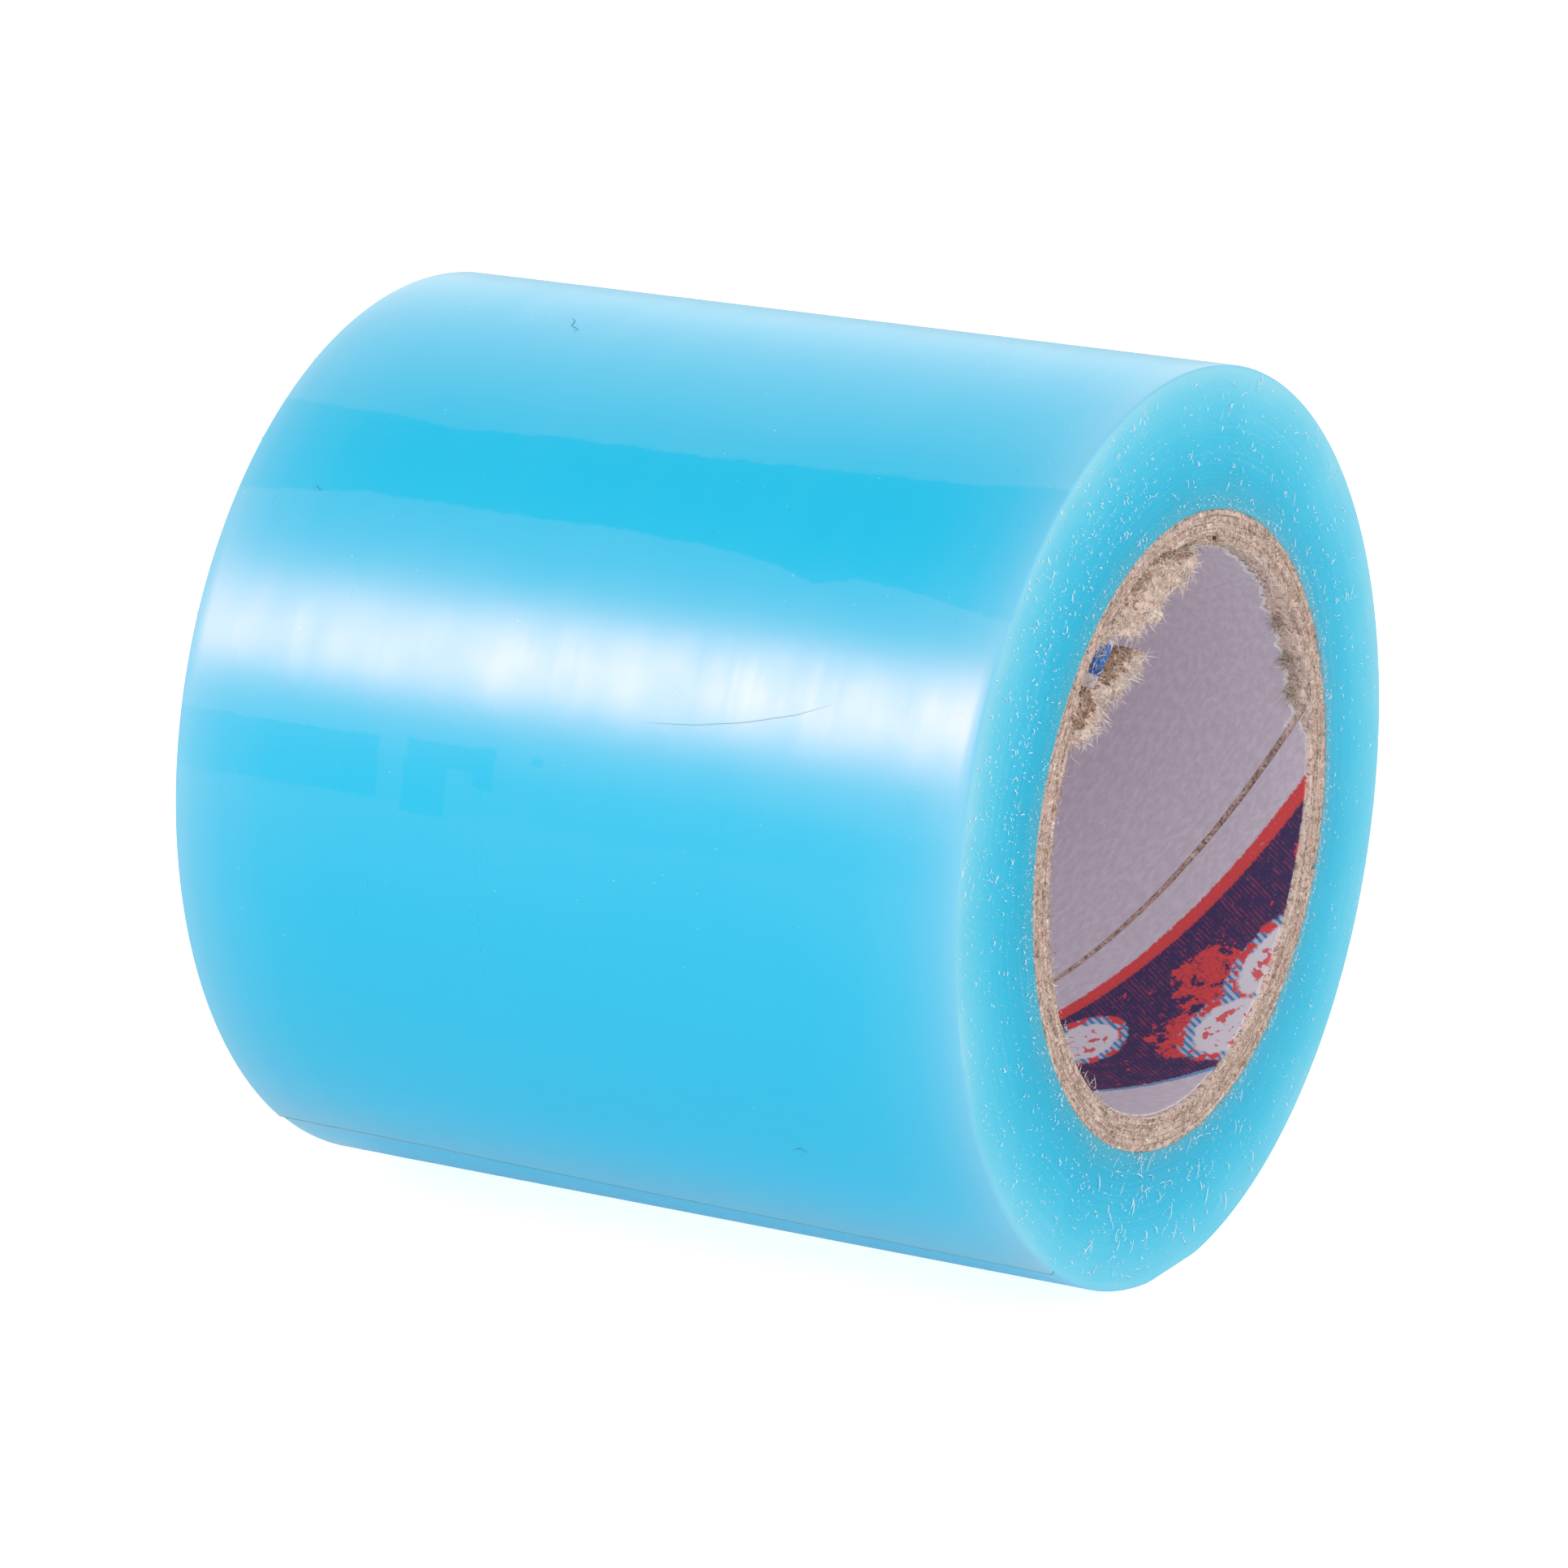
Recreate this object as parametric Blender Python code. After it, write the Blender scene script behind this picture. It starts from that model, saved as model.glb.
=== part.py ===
"""Roll of translucent blue film tape on a spiral-wound paperboard core.

The roll lies on its side: its axis runs along X, the floor is z = 0 and the origin is under its
middle. Clock angles are in degrees around the axis, 0 at the top and growing towards the front (-Y).
All sizes are in metres.
"""
import bmesh
import bpy
from math import asin, cos, degrees, pi, radians, sin, sqrt

# ---------------------------------------------------------------- driving dimensions
TAPE_WIDTH = 0.050
ROLL_RADIUS = 0.0263          # to the film's outer face at its free edge
FILM = 0.00013                # film with its adhesive
ADHESIVE_GAP = 0.00006        # clearance between the free end and the lap that it sticks to
REST_FLAT = 0.0056            # width of the flat that the roll lies on

CORE_LENGTH = 0.051           # the core stands 0.5 mm proud of the film at both ends
CORE_BORE_RADIUS = 0.0161
LINER_PAPER = 0.00015
KRAFT_PLIES = 5
KRAFT_THICKNESS = 0.00033
GLUE_LINE = 0.00005
CORE_FACETS = 72

SEAM_PITCH = 0.0667           # length of core that one turn of each wound strip covers
LINER_SEAM = 0.00045
KRAFT_SEAM = 0.00030
SEAM_START = -75.0            # clock angle of the liner's seam at the +X mouth
SEAM_STAGGER = 65.0           # turn between the seams of neighbouring plies

# Tears out of the +X mouth: first and last clock angle, depth, raggedness
UPPER_TEAR = (-84, 4, 0.0010, 0.0003)
LINER_TEAR = (-12, 68, 0.0026, 0.0002)
PLY_TEAR = (-12, 68, 0.0019, 0.0001)

# Shreds of the innermost ply, bent into the bore
FLAP_THICKNESS = 0.0008
FLAP_FOOT = 0.0014            # how far inside the mouth a shred still hangs on
FLAP_TIP = 0.0003             # how far inside the mouth its tip ends
FOOT_THICKNESS = 0.00024
UPPER_FLAP = (-2, 38, 0.0024)           # first and last clock angle, reach towards the axis
LOWER_FLAP = (40, 54, 0.0030)

TAIL_EDGE = 143.5             # clock angle of the film's cut edge
TAIL_SEGMENTS = 4
TAIL_SEGMENT_ANGLE = 8.5
TAIL_FACETS = 4               # flat facets in each segment
TAIL_GAP = 0.00015            # bending line between two segments
TAIL_SLANT = 110.0            # degrees that the cut edge advances per metre of width
WIDTH_STEPS = 4               # facets across the width of the free end

TIP_WIDTH = 0.0001            # blunt tip of a strip where the end trim runs it out
MARGIN = 0.001                # how far a cutter runs past what it cuts
MOUTH = CORE_LENGTH / 2

TAIL_ROOT = TAIL_EDGE - TAIL_SEGMENTS * TAIL_SEGMENT_ANGLE


def film_radius(angle):
    """Outer face of the wound film: one film thickness is lost with each turn back from the edge."""
    return ROLL_RADIUS - FILM * (TAIL_EDGE - angle) / 360


AXIS_HEIGHT = sqrt(film_radius(-180) ** 2 - (REST_FLAT / 2) ** 2)


# ---------------------------------------------------------------- geometry helpers
def around(x, radius, angle):
    """Point at a clock angle, measured from the roll's axis."""
    turn = radians(angle)
    return (x, -radius * sin(turn), radius * cos(turn))


def spread(first, last, largest_step):
    """Evenly spaced angles from first to last, both included."""
    count = max(1, round(abs(last - first) / largest_step + 0.49))
    return [first + (last - first) * i / count for i in range(count + 1)]


def material(name, colour, roughness):
    made = bpy.data.materials.new(name)
    made.use_nodes = True
    shader = made.node_tree.nodes["Principled BSDF"]
    shader.inputs["Base Color"].default_value = (*colour, 1.0)
    shader.inputs["Roughness"].default_value = roughness
    shader.inputs["Metallic"].default_value = 0.0
    return made


def add_object(name, bm, parent, look=None, place=(0, 0, 0)):
    """Turn a bmesh into a shaded object under its parent."""
    bmesh.ops.recalc_face_normals(bm, faces=bm.faces)
    mesh = bpy.data.meshes.new(name)
    bm.to_mesh(mesh)
    bm.free()
    mesh.shade_smooth()
    mesh.set_sharp_from_angle(angle=radians(30))
    made = bpy.data.objects.new(name, mesh)
    bpy.context.scene.collection.objects.link(made)
    made.parent = parent
    made.location = place
    if look:
        mesh.materials.append(look)
    return made


def closed_sweep(sections):
    """Solid through a row of sections, each a ring of as many points, with both ends capped."""
    bm = bmesh.new()
    rings = [[bm.verts.new(point) for point in section] for section in sections]
    for ring, following in zip(rings, rings[1:]):
        for i in range(len(ring)):
            j = (i + 1) % len(ring)
            bm.faces.new((ring[i], ring[j], following[j], following[i]))
    bm.faces.new(rings[0])
    bm.faces.new(rings[-1])
    return bm


def on_facet(radius, angle):
    """Radius at an angle, on the flat facets of a round piece that has CORE_FACETS columns."""
    facet = 360 / CORE_FACETS
    offset = angle % facet - facet / 2
    return radius * cos(radians(facet / 2)) / cos(radians(offset))


# ---------------------------------------------------------------- core
def tear_depth(angle, bites):
    """How far a mouth is torn back at a clock angle, by the deepest of the bites out of it."""
    deepest = 0.0
    for first, last, depth, ragged in bites:
        share = ((angle - first) % 360) / (last - first)
        if share < 1:
            fade = min(1.0, 8 * share, 8 * (1 - share))
            wave = sin(radians(23 * angle)) + 0.6 * sin(radians(57 * angle + 40))
            deepest = max(deepest, fade * (depth + ragged * wave))
    return deepest


def wound_strip(name, parent, look, inner, thickness, seam_start, seam_width, bites=()):
    """A strip wound once around the core's mandrel in a helix, and trimmed at both mouths.

    seam_start is the clock angle where its butt seam leaves the +X mouth, and bites are torn
    out of that mouth.
    """
    advance = SEAM_PITCH / 360
    half_seam = seam_width / 2
    tip = TIP_WIDTH / advance

    def leading_edge(angle):
        return MOUTH + (angle - seam_start) * advance - half_seam

    def trailing_edge(angle):
        return leading_edge(angle) - SEAM_PITCH + seam_width

    first = seam_start - (CORE_LENGTH - half_seam) / advance + tip
    last = seam_start + 360 - half_seam / advance - tip
    corners = [seam_start + half_seam / advance, seam_start + 360 - (CORE_LENGTH + half_seam) / advance]
    step = 360 / CORE_FACETS / (2 if bites else 1)
    columns = [step * i for i in range(round(first / step) - 1, round(last / step) + 2)]
    stops = [a for a in columns if all(abs(a - c) > 0.3 for c in corners + [first, last])]
    angles = sorted(a for a in stops + corners if first < a < last)

    sections = []
    for angle in [first] + angles + [last]:
        low = max(-MOUTH, trailing_edge(angle))
        high = max(min(MOUTH - tear_depth(angle, bites), leading_edge(angle)), low + TIP_WIDTH / 2)
        radii = on_facet(inner, angle), on_facet(inner + thickness, angle)
        ring = [(low, radii[0]), (high, radii[0]), (high, radii[1]), (low, radii[1])]
        sections.append([around(x, radius, angle) for x, radius in ring])
    return add_object(name, closed_sweep(sections), parent, look)


def core_liner(parent, look):
    """Printed paper strip that lines the bore, torn back from the +X mouth along its upper half."""
    wound_strip("core_liner", parent, look, CORE_BORE_RADIUS, LINER_PAPER, SEAM_START, LINER_SEAM,
                bites=[UPPER_TEAR, LINER_TEAR])


def core_plies(parent, look):
    """Kraft strips wound one on the other; the innermost is torn where the two flaps hang."""
    inner = CORE_BORE_RADIUS + LINER_PAPER + GLUE_LINE
    for ply in range(1, KRAFT_PLIES + 1):
        bites = [PLY_TEAR] if ply == 1 else []
        wound_strip(f"core_ply_{ply}", parent, look, inner, KRAFT_THICKNESS,
                    SEAM_START + ply * SEAM_STAGGER, KRAFT_SEAM, bites)
        inner += KRAFT_THICKNESS + GLUE_LINE


def torn_flap(name, parent, look, span, thickness):
    """Shred of the innermost ply, still hanging by its foot and bent into the bore."""
    first, last, reach = span
    ply_middle = CORE_BORE_RADIUS + LINER_PAPER + GLUE_LINE + KRAFT_THICKNESS / 2
    foot_x, tip_x = MOUTH - FLAP_FOOT, MOUTH - FLAP_TIP
    sections = []
    for angle in spread(first, last, 4):
        share = (angle - first) / (last - first)
        swell = sin(pi * (0.08 + 0.84 * share)) ** 0.6
        stations = [(foot_x, ply_middle, FOOT_THICKNESS / 2),
                    ((foot_x + tip_x) / 2, ply_middle - 0.55 * reach * swell, thickness / 2 * swell),
                    (tip_x, ply_middle - reach * swell, thickness / 3 * swell)]
        below = [(x - half, radius - half) for x, radius, half in stations[1:]]
        above = [(x + half, radius + half) for x, radius, half in reversed(stations[1:])]
        x, radius, half = stations[0]
        outline = [(x, radius - half)] + below + above + [(x, radius + half)]
        sections.append([around(*corner, angle) for corner in outline])
    add_object(name, closed_sweep(sections), parent, look)


# ---------------------------------------------------------------- wound film
def pack_outline():
    """End view of the wound film: a spiral with one step, where the free end lies over it."""
    flat_from = degrees(asin(REST_FLAT / 2 / film_radius(-180))) - 180
    outline = [around(0, film_radius(a), a) for a in spread(TAIL_EDGE - 360, -360 - flat_from, 4)[:-1]]
    outline += [(0, -REST_FLAT / 2, -AXIS_HEIGHT), (0, REST_FLAT / 2, -AXIS_HEIGHT)]
    outline += [around(0, film_radius(a), a) for a in spread(flat_from, TAIL_ROOT, 4)[1:]]
    under_tail = spread(TAIL_ROOT, TAIL_EDGE, TAIL_SEGMENT_ANGLE / TAIL_FACETS)[:-1]
    outline += [around(0, film_radius(a - 360), a) for a in under_tail]
    return outline


def tape_pack(parent, look):
    """All the wound laps, as one solid around the core."""
    ends = [[(x, y, z) for _, y, z in pack_outline()] for x in (-TAPE_WIDTH / 2, TAPE_WIDTH / 2)]
    pack = add_object("tape_pack", closed_sweep(ends), parent, look)

    core_wall = LINER_PAPER + KRAFT_PLIES * (KRAFT_THICKNESS + GLUE_LINE) + GLUE_LINE
    columns = [360 * i / CORE_FACETS for i in range(CORE_FACETS)]
    ends = [[around(x, CORE_BORE_RADIUS + core_wall, angle) for angle in columns]
            for x in (-TAPE_WIDTH / 2 - MARGIN, TAPE_WIDTH / 2 + MARGIN)]
    bore = add_object("pack_bore", closed_sweep(ends), parent)
    bore.hide_render = True
    bore.display_type = "WIRE"
    cut = pack.modifiers.new("bore", "BOOLEAN")
    cut.operation = "DIFFERENCE"
    cut.solver = "EXACT"
    cut.object = bore


def tail_segment(number, parent, hinge_place, look):
    """One stretch of the free end, on a hinge in the film at its root side."""
    start = TAIL_ROOT + (number - 1) * TAIL_SEGMENT_ANGLE
    gap = degrees(TAIL_GAP / 2 / ROLL_RADIUS)
    is_last = number == TAIL_SEGMENTS
    hinge = around(0, film_radius(start - 360) + ADHESIVE_GAP + FILM / 2, start)
    sections = []
    for i in range(WIDTH_STEPS + 1):
        x = TAPE_WIDTH * (i / WIDTH_STEPS - 0.5)
        begin = start + gap
        end = start + TAIL_SEGMENT_ANGLE + (TAIL_SLANT * x if is_last else -gap)
        angles = [begin + (end - begin) * k / TAIL_FACETS for k in range(TAIL_FACETS + 1)]
        below = [around(x, film_radius(a - 360) + ADHESIVE_GAP, a) for a in angles]
        above = [around(x, film_radius(a - 360) + ADHESIVE_GAP + FILM, a) for a in reversed(angles)]
        sections.append([tuple(p - h for p, h in zip(point, hinge)) for point in below + above])
    place = tuple(h - p for h, p in zip(hinge, hinge_place))
    return add_object(f"tape_tail_{number}", closed_sweep(sections), parent, look, place), hinge


def tape_tail(parent, look):
    """The film's free end, as a chain that peels away from the roll."""
    holder, place = parent, (0, 0, 0)
    for number in range(1, TAIL_SEGMENTS + 1):
        holder, place = tail_segment(number, holder, place, look)


# ---------------------------------------------------------------- the roll
def main():
    for old in list(bpy.data.objects):
        bpy.data.objects.remove(old)
    axis = bpy.data.objects.new("roll_axis", None)
    bpy.context.scene.collection.objects.link(axis)
    axis.location = (0, 0, AXIS_HEIGHT)

    film = material("blue_film", (0.05, 0.53, 0.84), 0.22)
    kraft = material("kraft_board", (0.50, 0.35, 0.22), 0.9)
    torn = material("torn_kraft", (0.66, 0.50, 0.34), 0.95)
    paper = material("liner_paper", (0.48, 0.43, 0.52), 0.8)

    core_liner(axis, paper)
    core_plies(axis, kraft)
    torn_flap("torn_flap_upper", axis, torn, UPPER_FLAP, FLAP_THICKNESS)
    torn_flap("torn_flap_lower", axis, torn, LOWER_FLAP, FLAP_THICKNESS)
    tape_pack(axis, film)
    tape_tail(axis, film)


main()
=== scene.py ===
"""Looks of a roll of translucent blue film tape on a spiral-wound paperboard core.

The roll's axis runs along X. Clock angles ("turn") are in degrees around the axis, 0 at the top
and growing towards the front (-Y). Pieces are measured in millimetres and built in metres. The swept
pieces and the tail patches carry a UV map, "wrap", that holds their unrolled place: along the axis (or out
from it, on the roll's end faces) in millimetres, and the turn in degrees.
"""

import math
import random

import bpy
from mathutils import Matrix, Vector, noise


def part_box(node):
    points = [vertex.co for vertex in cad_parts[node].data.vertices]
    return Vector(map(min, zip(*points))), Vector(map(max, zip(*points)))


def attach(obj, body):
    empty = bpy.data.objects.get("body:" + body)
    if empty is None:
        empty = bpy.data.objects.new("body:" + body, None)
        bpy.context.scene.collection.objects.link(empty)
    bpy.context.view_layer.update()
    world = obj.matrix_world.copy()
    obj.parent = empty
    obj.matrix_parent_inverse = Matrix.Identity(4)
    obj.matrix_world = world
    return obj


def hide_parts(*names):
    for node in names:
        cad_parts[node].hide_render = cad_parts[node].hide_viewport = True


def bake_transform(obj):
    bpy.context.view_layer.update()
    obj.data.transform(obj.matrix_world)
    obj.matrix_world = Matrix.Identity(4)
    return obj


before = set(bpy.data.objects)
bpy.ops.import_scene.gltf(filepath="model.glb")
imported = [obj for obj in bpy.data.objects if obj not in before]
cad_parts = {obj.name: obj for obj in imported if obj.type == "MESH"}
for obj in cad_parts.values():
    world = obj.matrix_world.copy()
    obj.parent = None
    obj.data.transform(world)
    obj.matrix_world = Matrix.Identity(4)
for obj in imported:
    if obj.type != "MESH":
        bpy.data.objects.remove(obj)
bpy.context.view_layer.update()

MM = 0.001
CORE_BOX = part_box("core_ply_5")
AXIS_HEIGHT = (CORE_BOX[0].z + CORE_BOX[1].z) / 2 / MM
MOUTH = CORE_BOX[1].x / MM
HALF_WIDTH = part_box("tape_pack")[1].x / MM

# Wound film
ROLL_RADIUS = 26.3
FILM = 0.13                  # one film thickness, lost with each turn back from the free edge
TAIL_FILM = 0.09             # thickness of the free end, which leaves a little air under it
PACK_BORE = 18.2
RIM = 0.14                   # rounding where the side meets an end face
CORE_SWELL = 0.42            # the laps beside the core stand nearly as far out as it does
SWELL_REACH = 1.3
TAIL_EDGE = 143.5
TAIL_ROOT = 109.5
SEGMENT = 8.5
TAIL_STRIPS = 4
# the strip beside the cut carries the cut edge's painted shadow line
CUT_STRIP = 0.35             # degrees of film at the cut that take the cut edge's look
END_RINGS = 30               # rows of faces across each end
MM_PER_DEGREE = math.pi * ROLL_RADIUS / 180

# Core
BORE_RADIUS = 16.1
LINER_PAPER = 0.15
PLY = 0.378
PLY_PITCH = 0.38
PLIES = 5
GLUE = 0.05
LINER_GAP = 0.45             # open butt seams of the liner and of the plies
PLY_GAP = 0.3
SEAM_PITCH = 66.7            # length of core that one turn of a wound strip covers
SEAM_START = -75.0
SEAM_STAGGER = 65.0

# Tears at the +X mouth: first turn, last turn, depth, raggedness
LINER_TEARS = ((-84, 4, 0.85, 0.45), (-12, 60, 2.3, 0.3))
PLY_TEARS = {1: ((-8, 57, 1.9, 0.4), (-78, -70, 0.3, 0.3), (-60, -54, 0.35, 0.3)), 2: ((6, 50, 0.7, 0.3),)}

# Outlines of the torn shreds: turn, foot radius, tip radius
UPPER_SHRED = ((-6, 16.4, 15.9), (-3, 16.4, 15.0), (0.5, 16.5, 14.1), (4, 16.6, 14.5), (12, 16.6, 14.3),
               (17, 16.6, 13.5), (25, 16.6, 14.1), (29, 16.6, 15.0), (33, 16.6, 15.9), (36, 16.6, 16.3))
LOWER_SHRED = ((24, 12.9, 12.6), (27, 13.3, 12.3), (31, 13.9, 12.5), (36, 14.4, 12.9), (42, 15.0, 13.4),
               (48, 15.6, 13.8), (53, 16.1, 14.3), (58, 16.4, 15.3))
SCRAP_TURNS = (29, 45)
FIBRE = 0.021                # usual radius of a loose fibre

# Linear colours
BLUE = (0.001, 0.57, 0.88)
WHITE = (0.93, 0.97, 1.0)
# cut edge of the free end: partly the film edge's own deep teal, partly a painted shadow line at the cut
CUT_SHADOW_TEAL = (0.0, 0.22, 0.33)
KRAFT = (0.66, 0.46, 0.38)
KRAFT_DARK = (0.20, 0.115, 0.085)
KRAFT_LIGHT = (0.96, 0.81, 0.74)
TORN = (0.93, 0.72, 0.61)
INK_RED = (0.80, 0.085, 0.09)
INK_NAVY = (0.066, 0.044, 0.135)
INK_BLUE = (0.05, 0.30, 0.64)
PALE_BLUE = (0.58, 0.58, 0.70)
# painted shade: greyer, darker film close to the table
TABLE_SHADE_BLUE = (0.18, 0.42, 0.51)      # film close to the table
FELT_BLUE = (0.72, 0.80, 0.80)       # slit film with the core's dust on it


# ---------------------------------------------------------------- shapes
def place(x, radius, turn):
    """Point in metres, from millimetres along the axis, millimetres out from it and a clock angle."""
    angle = math.radians(turn)
    return (x * MM, -radius * math.sin(angle) * MM, (AXIS_HEIGHT + radius * math.cos(angle)) * MM)


def spread(first, last, count):
    return [first + (last - first) * i / count for i in range(count + 1)]


def ripple(x, y, z=0.0):
    """Smooth seeded noise from -1 to 1."""
    return noise.noise(Vector((x + 31.7, y - 12.3, z + 5.1)))


def film_radius(turn):
    """Outer face of the wound film: a spiral, flattened where the roll lies, slightly uneven."""
    radius = ROLL_RADIUS - FILM * (TAIL_EDGE - turn) / 360
    down = -math.cos(math.radians(turn))
    return min(radius, AXIS_HEIGHT / down) if down > 0 else radius


def skin_radius(x, turn):
    """Film's outer face with its rounded rims and the faint corrugation of tight winding."""
    inset = max(0.0, HALF_WIDTH - abs(x))
    drop = RIM - math.sqrt(max(0.0, RIM ** 2 - (RIM - inset) ** 2)) if inset < RIM else 0.0
    wave = 0.006 * ripple(x * 0.6, turn * 0.004) + 0.003 * ripple(x * 2.1, turn * 0.01, 9)
    return film_radius(turn) - drop + wave * min(1.0, inset)


def end_face(radius):
    """Where the film's slit end lies along the axis: it swells a little beside the core."""
    return HALF_WIDTH + CORE_SWELL * math.exp((PACK_BORE - radius) / SWELL_REACH)


def make_object(name, points, faces, looks, wraps=None, slots=None, tones=None):
    """Smooth-shaded mesh object. wraps and slots go with the faces, tones with the points."""
    mesh = bpy.data.meshes.new(name)
    mesh.from_pydata(points, [], faces)
    for look in looks:
        mesh.materials.append(look)
    if slots:
        mesh.polygons.foreach_set("material_index", slots)
    if wraps:
        layer = mesh.uv_layers.new(name="wrap")
        layer.data.foreach_set("uv", [value for corner in wraps for value in corner])
    if tones:
        mesh.attributes.new("tone", "FLOAT", "POINT").data.foreach_set("value", tones)
    mesh.shade_smooth()
    mesh.set_sharp_from_angle(angle=math.radians(32))
    made = bpy.data.objects.new(name, mesh)
    bpy.context.scene.collection.objects.link(made)
    return made


RADIAL_SLOTS = (1,)


def sweep(name, columns, looks, closed_turn=None):
    """Solid through a row of columns, each (turn, ring), and each ring a list of (x, radius, slot).

    A slot is the material of the face that follows that point round the ring. Slots in
    RADIAL_SLOTS unroll by radius. closed_turn joins the last column to the first.
    """
    size = len(columns[0][1])
    points = [place(x, radius, turn) for turn, ring in columns for x, radius, _ in ring]
    faces, wraps, slots = [], [], []
    pairs = list(zip(columns, columns[1:]))
    if closed_turn is not None:
        pairs.append((columns[-1], (closed_turn, columns[0][1])))
    for i, ((turn, ring), (next_turn, next_ring)) in enumerate(pairs):
        start, after = i * size, (i + 1) % len(columns) * size
        for j in range(size):
            k = (j + 1) % size
            faces.append((start + j, after + j, after + k, start + k))
            axis = 1 if ring[j][2] in RADIAL_SLOTS else 0
            wraps += [(ring[j][axis], turn), (next_ring[j][axis], next_turn),
                      (next_ring[k][axis], next_turn), (ring[k][axis], turn)]
            slots.append(ring[j][2])
    if closed_turn is None:
        for first, (turn, ring), backwards in ((0, columns[0], False),
                                               ((len(columns) - 1) * size, columns[-1], True)):
            face = [first + j for j in range(size)]
            order = face[::-1] if backwards else face
            faces.append(order)
            wraps += [(ring[j - first][0], turn) for j in order]
            slots.append(ring[0][2])
    return make_object(name, points, faces, looks, wraps, slots)


class Soup:
    """Many small closed shapes gathered in one mesh."""

    def __init__(self):
        self.points, self.faces, self.tones = [], [], []

    def tube(self, path, radius, tone, sides=4):
        """Tapered tube along a path of points in metres; radius in millimetres."""
        first = len(self.points)
        for i, point in enumerate(path):
            ahead = Vector(path[min(i + 1, len(path) - 1)]) - Vector(path[max(i - 1, 0)])
            across = ahead.orthogonal().normalized()
            beside = ahead.cross(across).normalized()
            share = i / (len(path) - 1)
            width = radius * MM * (1 - 0.75 * abs(2 * share - 1) ** 3)
            for k in range(sides):
                angle = 2 * math.pi * k / sides
                offset = across * math.cos(angle) + beside * math.sin(angle)
                self.points.append(tuple(Vector(point) + offset * width))
        for i in range(len(path) - 1):
            for k in range(sides):
                a, b = first + i * sides + k, first + i * sides + (k + 1) % sides
                self.faces.append((a, b, b + sides, a + sides))
        last = len(self.points) - sides
        self.faces.append(tuple(range(first + sides - 1, first - 1, -1)))
        self.faces.append(tuple(range(last, last + sides)))
        self.tones += [tone] * (len(self.points) - len(self.tones))

    def grain(self, centre, size, tone, chance):
        """Irregular speck with six corners."""
        first = len(self.points)
        for axis in range(3):
            for sign in (1, -1):
                offset = [0.0, 0.0, 0.0]
                offset[axis] = sign * size * MM * chance.uniform(0.5, 1.2)
                self.points.append(tuple(c + o for c, o in zip(centre, offset)))
        for a in (0, 1):
            for b in (2, 3):
                for c in (4, 5):
                    corner = (first + a, first + b, first + c)
                    self.faces.append(corner if (a + b + c) % 2 == 0 else corner[::-1])
        self.tones += [tone] * 6

    def build(self, name, look):
        return make_object(name, self.points, self.faces, [look], tones=self.tones)


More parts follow.
